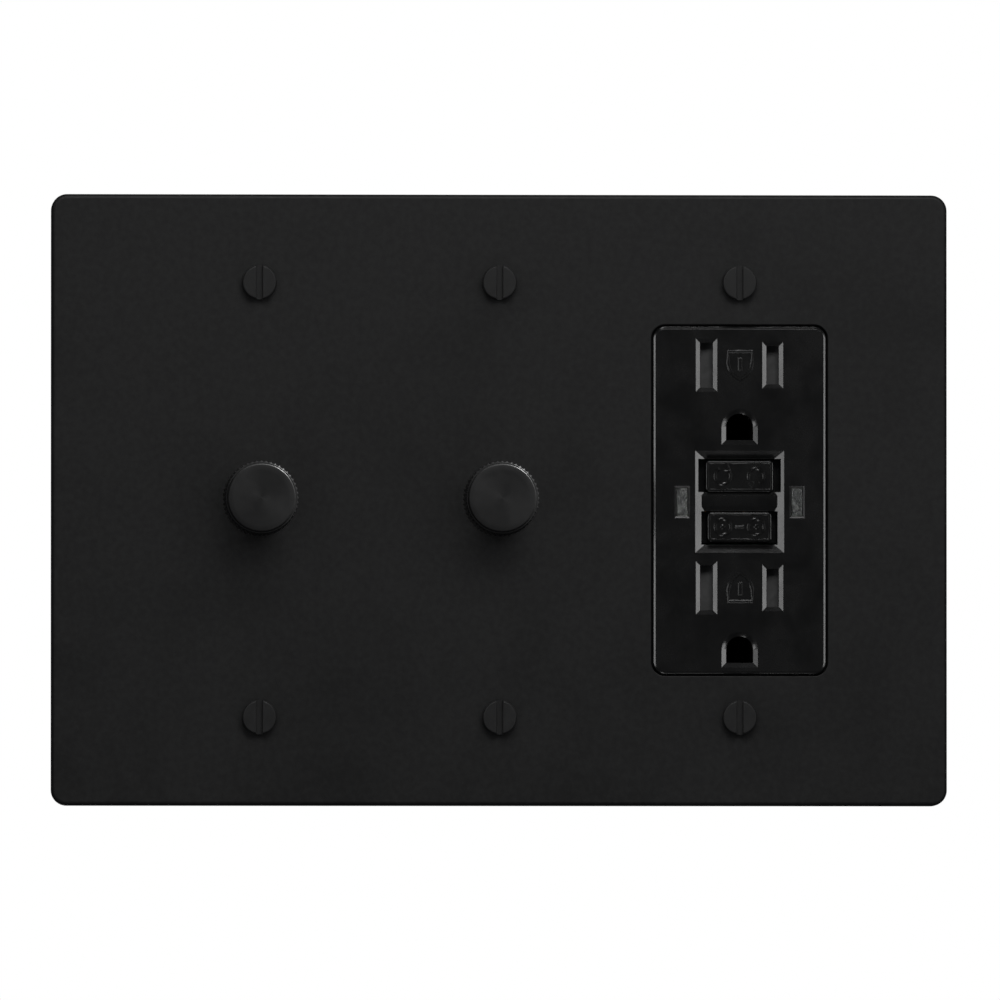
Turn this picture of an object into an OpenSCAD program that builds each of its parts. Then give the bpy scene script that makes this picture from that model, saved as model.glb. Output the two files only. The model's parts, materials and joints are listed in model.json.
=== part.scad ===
// Three-gang wall plate cover with two push-and-turn dimmers and a protected double receptacle.
// +X points to the viewer's right, +Z points up and the front faces -Y.
// The wall is the plane y = 0, and the origin is the centre of the six fixing screws in that plane.

/* [Gangs] */
// Distance between neighbouring gangs of the wall box
gang_pitch = 46.04; // [45.9:0.02:46.2]
// Distance between the upper and the lower fixing screw of one gang
screw_spacing = 83.34; // [83.1:0.02:83.5]

/* [Wall plate] */
// Width of the plate
plate_w = 171.7; // [169:0.1:176]
// Height of the plate
plate_h = 117.1; // [116:0.1:122]
// How far the plate stands off the wall
plate_t = 5.0; // [4.8:0.1:5.2]
// Corner radius of the plate's outline
plate_corner = 3.0; // [2:0.1:5]
// Bevel along the front edge
plate_bevel = 0.7; // [0.4:0.1:1.2]
// Thickness of the plate's front wall
plate_skin = 2.5; // [2.3:0.1:2.6]
// Thickness of the rim that meets the wall
plate_rim = 2.5; // [2:0.1:4]

/* [Fixing screws] */
// Radius of the slotted head
head_r = 3.3; // [3.0:0.1:3.8]
// Height of the head above the plate
head_h = 1.8; // [1.4:0.1:2.4]
// Bevel of the head's front edge
head_bevel = 0.35; // [0.2:0.05:0.5]
// Width of the driver slot
head_slot_w = 1.2; // [0.9:0.1:1.4]
// Depth of the driver slot
head_slot_d = 0.9; // [0.6:0.1:1.2]
// Radius of the relieved shank between the head and the thread
neck_r = 1.45; // [1.3:0.05:1.5]
// Outer radius of the thread that enters the wall box
thread_r = 1.75; // [1.7:0.01:1.8]
// Free length of the thread behind the wall plane
thread_l = 18; // [12:1:24]

/* [Knobs] */
// Radius over the tips of the knurl
knob_tip_r = 7.13; // [7.0:0.01:7.5]
// Radius at the roots of the knurl
knob_root_r = 6.85; // [6.7:0.01:6.9]
// Number of teeth round the knob
knob_teeth = 48; // [36:4:60]
// Radius of the raised front disc
knob_disc_r = 6.55; // [6.3:0.05:6.6]
// Length of the knob from its skirt to its front face
knob_l = 12.2; // [12:0.1:14]
// Gap between the knob and the plate
knob_gap = 1.8; // [1.7:0.1:2.2]
// How far the knob can be pushed in
push_travel = 1.4; // [1.0:0.1:1.4]

/* [Dimmers] */
// Width of a dimmer's case
dimmer_w = 43; // [42:0.5:44]
// Height of a dimmer's case
dimmer_h = 68; // [66:0.5:70]
// Depth of a dimmer's case behind the wall plane
dimmer_d = 30; // [30:0.5:34]

/* [Receptacle face] */
// Width of the visible face
face_w = 33.0; // [32.8:0.1:33.4]
// Height of the visible face
face_h = 66.5; // [66.3:0.1:66.7]
// How far the face stands in front of the wall plane
face_front = 5.6; // [5.5:0.1:6.0]
// Corner radius of the face
face_corner = 2.2; // [1.5:0.1:3]
// Gap between the face and the plate's opening
face_gap = 0.4; // [0.25:0.05:0.6]
// Distance between the two blades of a plug
blade_spacing = 12.7; // [12.6:0.02:12.8]
// Height of the upper pair of slots
upper_z = 25.9; // [25.5:0.1:26.0]
// Height of the lower pair of slots
lower_z = -16.8; // [-17:0.1:-16.6]
// Distance from a pair of slots down to its ground hole
ground_drop = 11.9; // [11.8:0.05:12.0]

/* [Motion] */
// How far the reset button stands out when it has tripped
reset_out = 1.2; // [0.8:0.1:1.4]
// How far a button can be pushed in
button_in = 1.5; // [1.0:0.1:1.6]
// How far a shutter slides sideways
shutter_travel = 3.2; // [3.0:0.1:3.3]

/* [Hidden] */
$fn = 48;
eps = 0.02;

left_x = -gang_pitch;
middle_x = 0;
right_x = gang_pitch;
gangs = [left_x, middle_x, right_x];
dimmers = [left_x, middle_x];
screw_z = screw_spacing / 2;
plate_hole_r = 2.0;
bushing_r = 3.5;
bushing_hole_r = 3.8;
shaft_r = 3.0;
shaft_flat = 2.4;
running = 0.05;
yoke_t = 1.5;
ear_w = 19;
ear_h = 106;
ear_slot_r = 2.2;
ear_slot_half = 1.5;

knob_back = -plate_t - knob_gap;
knob_front = knob_back - knob_l;
knob_disc_h = 1.2;
knob_bevel = 0.3;
skirt_r = 6.1;
bushing_front = -8.9;
skirt_d = knob_back - bushing_front + push_travel + 0.5;
grub_y = knob_back - 7.2;
grub_r = 1.5;

washer_r = 5.5;
washer_t = 0.5;
nut_af = 10;
nut_t = 2;
cup_r = 8.5;
cup_d = 7.0;
cup_wall = 0.9;
board_t = 1.6;
shaft_back = 12.5;
plunger_front = shaft_back + running;
cap_r = 3.0;
cap_t = 1.0;
stem_r = 2.0;
stem_end = 23;
switch_front = 18.55;
switch_bore_end = stem_end + push_travel + 1.6;
case_wall = 2;
case_post = [dimmer_w / 2 - 2.9, dimmer_h / 2 - 3];
post_r = 2.4;
terminal_z = 12;
terminal_y = 12;

skin = 2.5;
face_back = -face_front + skin;
face_wall = 1.6;
flange_front = -2.3;
slot_left = [2.5, 8.6];
slot_right = [2.4, 7.3];
slot_bevel = 0.8;
slot_bevel_d = 0.5;
ground_r = 2.6;
ground_flat = 2.45;
ground_bevel = 0.89;
recess_front = [-8.52, 8.52, -10.09, 9.49];
recess_back = [-6.75, 6.75, -8.6, 8.05];
recess_d = 1.1;
ridge_h = 0.37;
ridge_root = 0.4;
ridge_top = [-1.0, 0.9];
ridge_foot = [-2.08, 1.56];
ridge_half_l = 7.6;
reset_well = [-7.92, 7.92, 1.56, 7.95];
test_well = [-7.32, 7.32, -8.5, -2.08];
button_room = [-8.9, 8.9, -9.0, 8.6];
reset_z = 4.6;
reset_size = [12.95, 6.0];
test_z = -5.1;
test_size = [12.3, 5.67];
button_front = 5.3;
light_x = 11.02;
light_z = -0.35;
light_hole = [2.25, 5.45];
light_bevel = 0.35;
light_bevel_d = 0.3;
lens_size = [2.05, 5.25];

body_w = 41.4;
body_h = 70.4;
body_d = 27;
body_wall = 2;
frame_front = -0.9;
frame_back = 1.3;
housing_post = [18.6, 33.3];
shutter_t = 1.9;
shutter_back = frame_front - running;
shutter_h = 9.8;
shutter_x = [-13.0, 9.5];
rail_z = 5.0;
contact_base = 12.0;
contact_t = 0.8;
strap_y = 23.9;
pin_r = 1.2;
pin_end = 14;
lifter_y = [button_in + 5.5, button_in + 8];
coil_axis = [15.5, -3.0];
coil_x = [-9, 3];
plunger_r = 1.5;
clamp_z = 12;
clamp_y = 12.5;

// Shared shapes

// A profile in X and Z, drawn out towards the front from y_back
module slab(y_back, t) {
    translate([0, y_back, 0]) rotate([90, 0, 0]) linear_extrude(t) children();
}

// A round bar along Y that reaches towards the front from y_back
module rod(y_back, l, r) {
    translate([0, y_back, 0]) rotate([90, 0, 0]) cylinder(h = l, r = r);
}

// A cone along Y, of radius r_back at y_back and r_front at its front end
module cone(y_back, l, r_back, r_front) {
    translate([0, y_back, 0]) rotate([90, 0, 0]) cylinder(h = l, r1 = r_back, r2 = r_front);
}

module gang(x) {
    translate([x, 0, 0]) children();
}

module spot(x, z) {
    translate([x, 0, z]) children();
}

// Repeats its children at the four corners given by a point in X and Z
module corners(p) {
    for (sx = [-1, 1], sz = [-1, 1]) spot(sx * p[0], sz * p[1]) children();
}

module rounded_rect(w, h, r) {
    square([w - 2 * r, h], center = true);
    square([w, h - 2 * r], center = true);
    for (sx = [-1, 1], sy = [-1, 1])
        translate([sx * (w / 2 - r), sy * (h / 2 - r)]) circle(r = r);
}

// A rectangle given as [x0, x1, z0, z1]
module area(a) {
    translate([a[0], a[2]]) square([a[1] - a[0], a[3] - a[2]]);
}

function grown(a, by) = [a[0] - by, a[1] + by, a[2] - by, a[3] + by];
function around(w, h) = [-w / 2, w / 2, -h / 2, h / 2];
function corner_points(a) = [[a[0], a[2]], [a[1], a[2]], [a[1], a[3]], [a[0], a[3]]];

// An outline with a round top of radius r and a flat bottom
function arch_points(r, flat) = concat(
    [[-r, -flat], [r, -flat]],
    [for (i = [0:16]) [r * cos(i * 180 / 16), r * sin(i * 180 / 16)]]
);

// A tapered block between a front outline and a back outline of as many points
module taper(front, back, y_front, y_back) {
    n = len(front);
    polyhedron(
        points = concat(
            [for (p = front) [p[0], y_front, p[1]]],
            [for (p = back) [p[0], y_back, p[1]]]
        ),
        faces = concat(
            [[for (i = [n - 1:-1:0]) i], [for (i = [0:n - 1]) n + i]],
            [for (i = [0:n - 1]) [i, (i + 1) % n, n + (i + 1) % n, n + i]]
        )
    );
}

// A coil spring that stands on the origin and winds along +Z
module coil_spring(coil_r, wire_r, l, turns) {
    steps = 12;
    sides = 6;
    n = turns * steps;
    rise = (l - 2 * wire_r) / n;
    points = [
        for (i = [0:n], j = [0:sides - 1])
            let (a = 360 * i / steps, b = 360 * j / sides, r = coil_r + wire_r * cos(b))
                [r * cos(a), r * sin(a), wire_r + rise * i + wire_r * sin(b)]
    ];
    start_cap = [for (j = [sides - 1:-1:0]) j];
    end_cap = [for (j = [0:sides - 1]) n * sides + j];
    near = [
        for (i = [0:n - 1], j = [0:sides - 1])
            [i * sides + j, i * sides + (j + 1) % sides, (i + 1) * sides + j]
    ];
    far = [
        for (i = [0:n - 1], j = [0:sides - 1])
            [i * sides + (j + 1) % sides, (i + 1) * sides + (j + 1) % sides, (i + 1) * sides + j]
    ];
    polyhedron(points = points, faces = concat([start_cap, end_cap], near, far));
}

// A coil spring along Y, from y_front to y_back
module spring_y(y_front, y_back, coil_r, wire_r, turns) {
    translate([0, y_back, 0]) rotate([90, 0, 0]) coil_spring(coil_r, wire_r, y_back - y_front, turns);
}

// Wall plate and its screws

module plate_outline(inset) {
    rounded_rect(plate_w - 2 * inset, plate_h - 2 * inset, plate_corner - inset, $fn = 32);
}

module wall_plate() {
    color("#242424") difference() {
        union() {
            difference() {
                hull() {
                    slab(0, plate_t - plate_bevel) plate_outline(0);
                    slab(0, plate_t) plate_outline(plate_bevel);
                }
                slab(eps, plate_t - plate_skin + eps)
                    rounded_rect(plate_w - 2 * plate_rim, plate_h - 2 * plate_rim, 1.5);
            }
            for (x = gangs, sz = [-1, 1])
                spot(x, sz * screw_z) rod(-yoke_t, plate_skin, 4.5);
            for (x = dimmers) gang(x) rod(-yoke_t, plate_skin, 7.5);
        }
        for (x = gangs, sz = [-1, 1])
            spot(x, sz * screw_z) rod(1, plate_t + 2, plate_hole_r);
        for (x = dimmers) gang(x) rod(1, plate_t + 2, bushing_hole_r);
        gang(right_x) slab(1, plate_t + 2)
            rounded_rect(face_w + 2 * face_gap, face_h + 2 * face_gap, face_corner + face_gap);
    }
}

module plate_screw() {
    difference() {
        union() {
            cone(-plate_t - head_h + head_bevel, head_bevel, head_r, head_r - head_bevel);
            rod(-plate_t, head_h - head_bevel, head_r);
            rod(0, plate_t, neck_r);
            rod(thread_l - 1, thread_l - 1, thread_r);
            cone(thread_l, 1, thread_r - 0.6, thread_r);
        }
        translate([0, -plate_t - head_h, 0])
            cube([head_slot_w, 2 * head_slot_d, 3 * head_r], center = true);
    }
}

module plate_screws() {
    color("#2b2b2b") for (x = gangs, sz = [-1, 1]) spot(x, sz * screw_z) plate_screw();
}

// Dimmer pieces, each drawn about its own gang's centre

// A round profile with a flat on its lower side
module d_profile(r, flat) {
    intersection() {
        circle(r = r);
        translate([-r, -flat]) square([2 * r, r + flat]);
    }
}

module knob() {
    tooth = 180 / knob_teeth;
    outline = [
        for (i = [0:2 * knob_teeth - 1])
            let (r = i % 2 == 0 ? knob_tip_r : knob_root_r) [r * cos(i * tooth), r * sin(i * tooth)]
    ];
    color("#2a2a2a") difference() {
        union() {
            slab(knob_back, knob_l - knob_disc_h) polygon(outline);
            rod(knob_front + knob_disc_h + 1, 1 + knob_disc_h - knob_bevel, knob_disc_r);
            cone(knob_front + knob_bevel, knob_bevel, knob_disc_r, knob_disc_r - knob_bevel);
        }
        rod(knob_back + 1, skirt_d + 1, skirt_r);
        rod(knob_back, knob_l - 1.6, shaft_r + 0.02);
        translate([0, grub_y, -knob_tip_r - 1]) cylinder(h = knob_tip_r, r = grub_r + 0.02);
    }
}

module grub_screw() {
    color("dimgray") translate([0, grub_y, -knob_root_r + 0.9]) difference() {
        cylinder(h = knob_root_r - 0.9 - shaft_flat, r = grub_r);
        translate([0, 0, -1]) cylinder(h = 2.2, r = 0.75, $fn = 6);
    }
}

module shaft() {
    color("silver") slab(shaft_back, shaft_back - knob_front - 2.2) d_profile(shaft_r, shaft_flat);
}

module bushing_housing() {
    color("tan") difference() {
        union() {
            rod(0, -bushing_front, bushing_r);
            rod(cup_d, cup_d, cup_r);
        }
        rod(cup_d, cup_d - bushing_front + 1, shaft_r + running);
        rod(cup_d + 1, cup_d - 0.5, cup_r - cup_wall);
    }
}

module rotor() {
    color("ivory") difference() {
        rod(5.0, 3.2, cup_r - cup_wall - 0.3);
        slab(6, 6) d_profile(shaft_r + 0.08, shaft_flat + 0.08);
    }
}

module wiper() {
    color("goldenrod") {
        slab(5.3, 0.3) difference() {
            circle(r = 6.6);
            circle(r = 4.2);
        }
        spot(0, 5.4) rod(6.9, 1.6, 0.6);
    }
}

// The four-cornered strap with ears that screws to the wall box
module yoke_outline(w, h) {
    rounded_rect(ear_w, ear_h, 2);
    rounded_rect(w, h, 2);
}

module ear_slots() {
    for (sz = [-1, 1]) translate([0, sz * screw_z]) {
        square([2 * ear_slot_half, 2 * ear_slot_r], center = true);
        for (sx = [-1, 1]) translate([sx * ear_slot_half, 0]) circle(r = ear_slot_r);
    }
}

ground_screw_at = [-6.2, -47.5];

module dimmer_yoke() {
    color("lightgray") slab(0, yoke_t) difference() {
        yoke_outline(dimmer_w, dimmer_h);
        ear_slots();
        circle(r = bushing_r + 0.1);
        translate(ground_screw_at) circle(r = 1.65);
        for (sx = [-1, 1], sz = [-1, 1])
            translate([sx * case_post[0], sz * case_post[1]]) circle(r = 1.25);
    }
}

module rear_case() {
    color("#1d1d1f") difference() {
        union() {
            difference() {
                slab(dimmer_d, dimmer_d) rounded_rect(dimmer_w, dimmer_h, 2);
                slab(dimmer_d - case_wall, dimmer_d)
                    rounded_rect(dimmer_w - 2 * case_wall, dimmer_h - 2 * case_wall, 1);
            }
            intersection() {
                corners(case_post) rod(dimmer_d - 1, dimmer_d - 1, post_r);
                slab(dimmer_d, dimmer_d) rounded_rect(dimmer_w - 1, dimmer_h - 1, 1.5);
            }
        }
        corners(case_post) rod(12, 13, 1.2);
        for (sz = [-1, 1])
            translate([dimmer_w / 2, terminal_y, sz * terminal_z]) cube([8, 10, 10], center = true);
    }
}

module dimmer_board() {
    color("darkgreen") slab(cup_d + board_t, board_t) difference() {
        rounded_rect(33, 58, 1);
        circle(r = shaft_r + 0.4);
    }
}

module choke() {
    wraps = 14;
    color("peru") translate([-6, cup_d + board_t + 3.6, 19]) rotate([90, 0, 0]) {
        rotate_extrude() translate([5.6, 0]) square([3.4, 5.2], center = true);
        for (i = [0:wraps - 1]) rotate([0, 0, i * 360 / wraps])
            translate([5.6, 0, 0]) cube([4.8, 1.3, 6.6], center = true);
    }
}

module triac() {
    color("#33363a") {
        translate([-5, 0, -30]) cube([10, 1.3, 9]);
        translate([-5, 0, -23]) cube([10, 4.4, 9]);
        for (x = [-2.54, 0, 2.54]) {
            translate([x - 0.4, 1.8, -14 - eps]) cube([0.8, 0.8, 1.5]);
            translate([x - 0.4, 1.8, -13.2]) cube([0.8, cup_d - 1.8, 0.7]);
        }
    }
}

module switch_plunger() {
    color("white") {
        rod(plunger_front + cap_t, cap_t, cap_r);
        rod(stem_end, stem_end - plunger_front - cap_t, stem_r);
    }
}

module plunger_spring() {
    color("silver") spring_y(plunger_front + cap_t + eps, switch_front - eps, 2.7, 0.25, 5);
}

module push_switch() {
    color("#303030") difference() {
        slab(dimmer_d - case_wall, dimmer_d - case_wall - switch_front) rounded_rect(11, 11, 1);
        rod(switch_bore_end, 12, stem_r + running);
    }
}

// Small hardware shared by the devices

module bushing_nuts() {
    color("silver") for (x = dimmers) gang(x) slab(-plate_t - washer_t, nut_t) difference() {
        circle(r = nut_af / 2 / cos(30), $fn = 6);
        circle(r = bushing_r + 0.01);
    }
}

module bushing_washers() {
    color("silver") for (x = dimmers) gang(x) slab(-plate_t, washer_t) difference() {
        circle(r = washer_r);
        circle(r = bushing_r + 0.2);
    }
}

module dimmer_case_screws() {
    color("gray") for (x = dimmers) gang(x) corners(case_post) difference() {
        union() {
            rod(-yoke_t, 0.8, 2.2);
            rod(11, 11 + yoke_t, 1.15);
        }
        for (turn = [0, 90]) rotate([0, turn, 0])
            translate([0, -yoke_t - 0.8, 0]) cube([0.6, 0.8, 2.6], center = true);
    }
}

// A terminal screw along X: its head's inner side is at x_head, and side is 1 or -1
module terminal_screw(x_head, y, z, side, reach) {
    translate([x_head, y, z]) rotate([0, side * 90, 0]) difference() {
        union() {
            cylinder(h = 1.8, r = 2.9);
            translate([0, 0, -reach]) cylinder(h = reach, r = 1.6);
        }
        translate([0, 0, 1.8]) cube([6.2, 0.9, 1.6], center = true);
    }
}

dimmer_clamp_x = 16.5;
receptacle_clamp_x = 16.8;
clamp_t = 1.0;

module brass_terminal_screws() {
    color("gold") {
        for (x = dimmers, sz = [-1, 1])
            gang(x) terminal_screw(dimmer_clamp_x + clamp_t + 0.2, terminal_y, sz * terminal_z, 1, 5);
        for (sz = [-1, 1])
            gang(right_x) terminal_screw(receptacle_clamp_x + clamp_t, clamp_y, sz * clamp_z, 1, 5);
    }
}

module silver_terminal_screws() {
    color("silver") for (sz = [-1, 1])
        gang(right_x) terminal_screw(-receptacle_clamp_x - clamp_t, clamp_y, sz * clamp_z, -1, 5);
}

// A square clamp plate under a terminal screw, between x and x + clamp_t
module clamp(x, y, z) {
    difference() {
        translate([x, y - 4, z - 4]) cube([clamp_t, 8, 8]);
        translate([x - 1, y, z]) rotate([0, 90, 0]) cylinder(h = 3, r = 1.65);
    }
}

module terminal_clamps() {
    color("silver") {
        for (x = dimmers, sz = [-1, 1]) gang(x) clamp(dimmer_clamp_x, terminal_y, sz * terminal_z);
        for (sx = [-1, 1], sz = [-1, 1]) gang(right_x)
            clamp(sx > 0 ? receptacle_clamp_x : -receptacle_clamp_x - clamp_t, clamp_y, sz * clamp_z);
    }
}

module ground_screws() {
    color("green") for (x = gangs) gang(x) spot(ground_screw_at[0], ground_screw_at[1]) difference() {
        union() {
            rod(-yoke_t, 0.9, 2.8);
            rod(4, 4 + yoke_t, 1.6);
        }
        translate([0, -yoke_t - 0.9, 0]) cube([0.8, 0.8, 6.2], center = true);
    }
}

// Receptacle, drawn about the right gang's centre

// A slot with bevelled sides, through a wall that starts at the face's front
module bevelled_slot(size) {
    through = around(size[0], size[1]);
    lip = eps * slot_bevel / slot_bevel_d;
    taper(
        corner_points(grown(through, slot_bevel + lip)), corner_points(through),
        -face_front - eps, -face_front + slot_bevel_d
    );
    slab(face_back + 1, skin + 1 - slot_bevel_d) area(through);
}

module ground_hole() {
    taper(
        arch_points(ground_r + ground_bevel, ground_flat + ground_bevel),
        arch_points(ground_r, ground_flat),
        -face_front - eps, -face_front + slot_bevel_d
    );
    slab(face_back + 1, skin + 1 - slot_bevel_d) polygon(arch_points(ground_r, ground_flat));
}

// The bar between the two buttons, with a sloped upper and lower side
module button_ridge() {
    floor_y = -face_front + recess_d;
    translate([-ridge_half_l, 0, 0]) rotate([90, 0, 90]) linear_extrude(2 * ridge_half_l)
        polygon([
            [floor_y + ridge_root, ridge_foot[0]], [floor_y, ridge_foot[0]],
            [floor_y - ridge_h, ridge_top[0]], [floor_y - ridge_h, ridge_top[1]],
            [floor_y, ridge_foot[1]], [floor_y + ridge_root, ridge_foot[1]]
        ]);
}

module receptacle_face() {
    color("#1a1a1b") gang(right_x) {
        button_ridge();
        face_shell();
    }
}

module face_shell() {
    difference() {
        union() {
            slab(-yoke_t, face_front - yoke_t) rounded_rect(face_w, face_h, face_corner);
            slab(-yoke_t, -yoke_t - flange_front) rounded_rect(body_w - 0.4, body_h - 1.4, 2);
        }
        difference() {
            slab(0, -face_back)
                rounded_rect(face_w - 2 * face_wall, face_h - 2 * face_wall, 1);
            slab(0, 4) area(grown(recess_back, 2.2));
        }
        taper(
            corner_points(grown(recess_front, 1.5 * eps)), corner_points(recess_back),
            -face_front - eps, -face_front + recess_d
        );
        slab(0, 5) area(reset_well);
        slab(0, 5) area(test_well);
        slab(0, reset_out + 1) area(button_room);
        for (z = [upper_z, lower_z]) {
            spot(-blade_spacing / 2, z) bevelled_slot(slot_left);
            spot(blade_spacing / 2, z) bevelled_slot(slot_right);
            spot(0, z - ground_drop) ground_hole();
        }
        for (sx = [-1, 1]) spot(sx * light_x, light_z) {
            hole = around(light_hole[0], light_hole[1]);
            taper(
                corner_points(grown(hole, light_bevel)), corner_points(hole),
                -face_front - eps, -face_front + light_bevel_d
            );
            slab(0, face_front - light_bevel_d) area(hole);
        }
        corners(housing_post) rod(0, 2.1, 1.2);
    }
}

module receptacle_yoke() {
    color("lightgray") gang(right_x) slab(0, yoke_t) difference() {
        yoke_outline(body_w - 0.4, 70);
        rounded_rect(34, 64, 1);
        ear_slots();
        translate(ground_screw_at) circle(r = 1.65);
        for (sx = [-1, 1], sz = [-1, 1])
            translate([sx * housing_post[0], sz * housing_post[1]]) circle(r = 1.25);
    }
}

module receptacle_frame() {
    color("#e9e6da") gang(right_x) difference() {
        union() {
            slab(0, -frame_front) rounded_rect(33.4, 63.4, 1);
            slab(frame_back, frame_back) rounded_rect(37, 64.2, 3.5);
            for (z = [upper_z, lower_z], sz = [-1, 1])
                translate([-14, frame_front - 1.6, z + sz * (rail_z + 0.3) - 0.3]) cube([28, 1.7, 0.6]);
        }
        slab(5, 10) area(button_room);
        for (z = [upper_z, lower_z]) {
            for (sx = [-1, 1]) spot(sx * blade_spacing / 2, z) slab(5, 8) area(around(3.2, 9.2));
            spot(0, z - ground_drop) slab(5, 8) area(around(7.4, 7.4));
        }
    }
}

module receptacle_body() {
    color("#232325") gang(right_x) difference() {
        union() {
            difference() {
                slab(body_d, body_d) rounded_rect(body_w, body_h, 2);
                slab(body_d - body_wall, body_d)
                    rounded_rect(body_w - 2 * body_wall, body_h - 2 * body_wall, 0.8);
            }
            intersection() {
                corners(housing_post) rod(body_d - 1, body_d - 1, 2.2);
                slab(body_d, body_d) rounded_rect(body_w - 0.6, body_h - 0.6, 1.7);
            }
        }
        corners(housing_post) {
            rod(body_d + 1, body_d + 2, 1.25);
            rod(body_d + 1, 2.6, 1.95);
        }
        for (sx = [-1, 1], sz = [-1, 1])
            translate([sx * body_w / 2, clamp_y, sz * clamp_z]) cube([8, 11, 11], center = true);
    }
}

module ground_contacts() {
    leaf = [2.45, 3.1];
    color("goldenrod") gang(right_x) {
        translate([-leaf[1], strap_y, -33.1]) cube([2 * leaf[1], contact_t, 50.6]);
        translate([-leaf[1], 0, -33.1]) cube([2 * leaf[1], strap_y + 0.1, contact_t]);
        for (z = [upper_z, lower_z], sx = [-1, 1])
            translate([sx > 0 ? leaf[0] : -leaf[1], 4, z - ground_drop - 2])
                cube([leaf[1] - leaf[0], strap_y - 3.9, 4]);
    }
}

// The contact strip of one side: two blade clips, the bar that joins them and the terminal plate
module line_contact(side, leaf_h) {
    gap = 0.75;
    leaf_t = 0.6;
    tab_x = receptacle_clamp_x - contact_t;
    mirror([side < 0 ? 1 : 0, 0, 0]) difference() {
        union() {
            for (z = [upper_z, lower_z]) {
                for (sx = [-1, 1])
                    translate([blade_spacing / 2 + sx * (gap + leaf_t / 2) - leaf_t / 2, 2.2, z - leaf_h / 2])
                        cube([leaf_t, contact_base - 2.1, leaf_h]);
                translate([blade_spacing / 2 - gap - leaf_t, contact_base, z - leaf_h / 2])
                    cube([tab_x + contact_t - blade_spacing / 2 + gap + leaf_t, contact_t, leaf_h]);
            }
            translate([tab_x - 2.6, contact_base, lower_z])
                cube([2.6 + contact_t, contact_t, upper_z - lower_z]);
            translate([tab_x, 7, -18]) cube([contact_t, 11, 36]);
        }
        for (sz = [-1, 1])
            translate([tab_x - 4, clamp_y, sz * clamp_z]) rotate([0, 90, 0]) cylinder(h = 8, r = 1.65);
    }
}

module hot_contact() {
    color("gold") gang(right_x) line_contact(1, 6.4);
}

module neutral_contact() {
    color("khaki") gang(right_x) line_contact(-1, 7.8);
}

// A button cap with a bevelled front edge and a retaining flange behind it
module button_cap(size, flange) {
    edge = 0.35;
    top = around(size[0], size[1]);
    taper(corner_points(grown(top, -edge)), corner_points(top), -button_front, -button_front + edge);
    slab(0, button_front - edge) area(around(size[0], size[1]));
    slab(0, 1) area(around(flange[0], flange[1]));
}

module reset_button() {
    color("#161617") gang(right_x) spot(0, reset_z) button_cap(reset_size, [16.6, 6.3]);
}

module reset_spring() {
    color("silver") gang(right_x) spot(0, reset_z) spring_y(eps, lifter_y[0] - eps, 2.0, 0.22, 7);
}

module latch_pin() {
    color("silver") gang(right_x) spot(0, reset_z) difference() {
        rod(pin_end, pin_end, pin_r);
        slab(12, 1) difference() {
            circle(r = pin_r + 1);
            circle(r = pin_r - 0.4);
        }
    }
}

module contact_lifter() {
    color("ivory") gang(right_x) difference() {
        slab(lifter_y[1], lifter_y[1] - lifter_y[0]) translate([0, reset_z]) square([23, 4.4], center = true);
        spot(0, reset_z) rod(lifter_y[1] + 1, 5, pin_r + 0.15);
    }
}

module test_button() {
    color("#161617") gang(right_x) spot(0, test_z) {
        button_cap(test_size, [15.4, 5.9]);
        rod(3, 3 + eps, 1.0);
    }
}

module test_contact_spring() {
    color("goldenrod") gang(right_x) {
        translate([-8, 3.1, test_z - 1]) cube([12, 0.4, 2]);
        translate([-8.4, 1.6, test_z - 1]) cube([0.4 + eps, 9, 2]);
    }
}

module light_lenses() {
    color([0.85, 0.88, 0.9, 0.5]) gang(right_x) for (sx = [-1, 1])
        spot(sx * light_x, light_z) slab(-1.2, face_front - 1.45) area(around(lens_size[0], lens_size[1]));
}

module shutter() {
    slot_x = blade_spacing / 2;
    length = shutter_x[1] - shutter_x[0];
    color("#8c8f93") difference() {
        translate([shutter_x[0], shutter_back - shutter_t, -shutter_h / 2])
            cube([length, shutter_t, shutter_h]);
        for (sx = [-1, 1]) {
            spot(sx * slot_x - shutter_travel, 0) slab(5, 10) area(around(2.8, 9.2));
            translate([sx * slot_x, shutter_back - shutter_t, 0]) linear_extrude(8.8, center = true)
                polygon([[-1.4, -1], [1.3, -1], [1.3, 0.2], [-1.4, 1.1]]);
        }
    }
}

module shutter_spring() {
    color("silver") translate([shutter_x[1] + eps, shutter_back - shutter_t / 2, 0])
        rotate([0, 90, 0]) coil_spring(0.65, 0.15, 5.2, 7);
}

module upper_shutter() {
    gang(right_x) spot(0, upper_z) shutter();
}

module lower_shutter() {
    gang(right_x) spot(0, lower_z) shutter();
}

module upper_shutter_spring() {
    gang(right_x) spot(0, upper_z) shutter_spring();
}

module lower_shutter_spring() {
    gang(right_x) spot(0, lower_z) shutter_spring();
}

module sense_board() {
    color("darkgreen") gang(right_x) slab(22.1, board_t) area([-12.5, 12.5, -10, 11.4]);
}

module sense_transformer() {
    color("#3b3f45") gang(right_x) spot(6, 5.9) slab(20.5, 4) difference() {
        circle(r = 5);
        circle(r = 2.2);
    }
}

module solenoid_coil() {
    color("peru") gang(right_x) translate([coil_x[0], coil_axis[0], coil_axis[1]]) rotate([0, 90, 0])
        difference() {
            union() {
                cylinder(h = coil_x[1] - coil_x[0], r = 4.0);
                cylinder(h = 0.8, r = 4.5);
                translate([0, 0, coil_x[1] - coil_x[0] - 0.8]) cylinder(h = 0.8, r = 4.5);
            }
            translate([0, 0, -1]) cylinder(h = 20, r = plunger_r + running);
        }
}

module solenoid_plunger() {
    color("silver") gang(right_x) translate([0, coil_axis[0], coil_axis[1]]) rotate([0, 90, 0]) {
        translate([0, 0, -6]) cylinder(h = 14, r = plunger_r);
        translate([0, 0, 8]) cylinder(h = 1, r = 2.6);
    }
}

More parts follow.
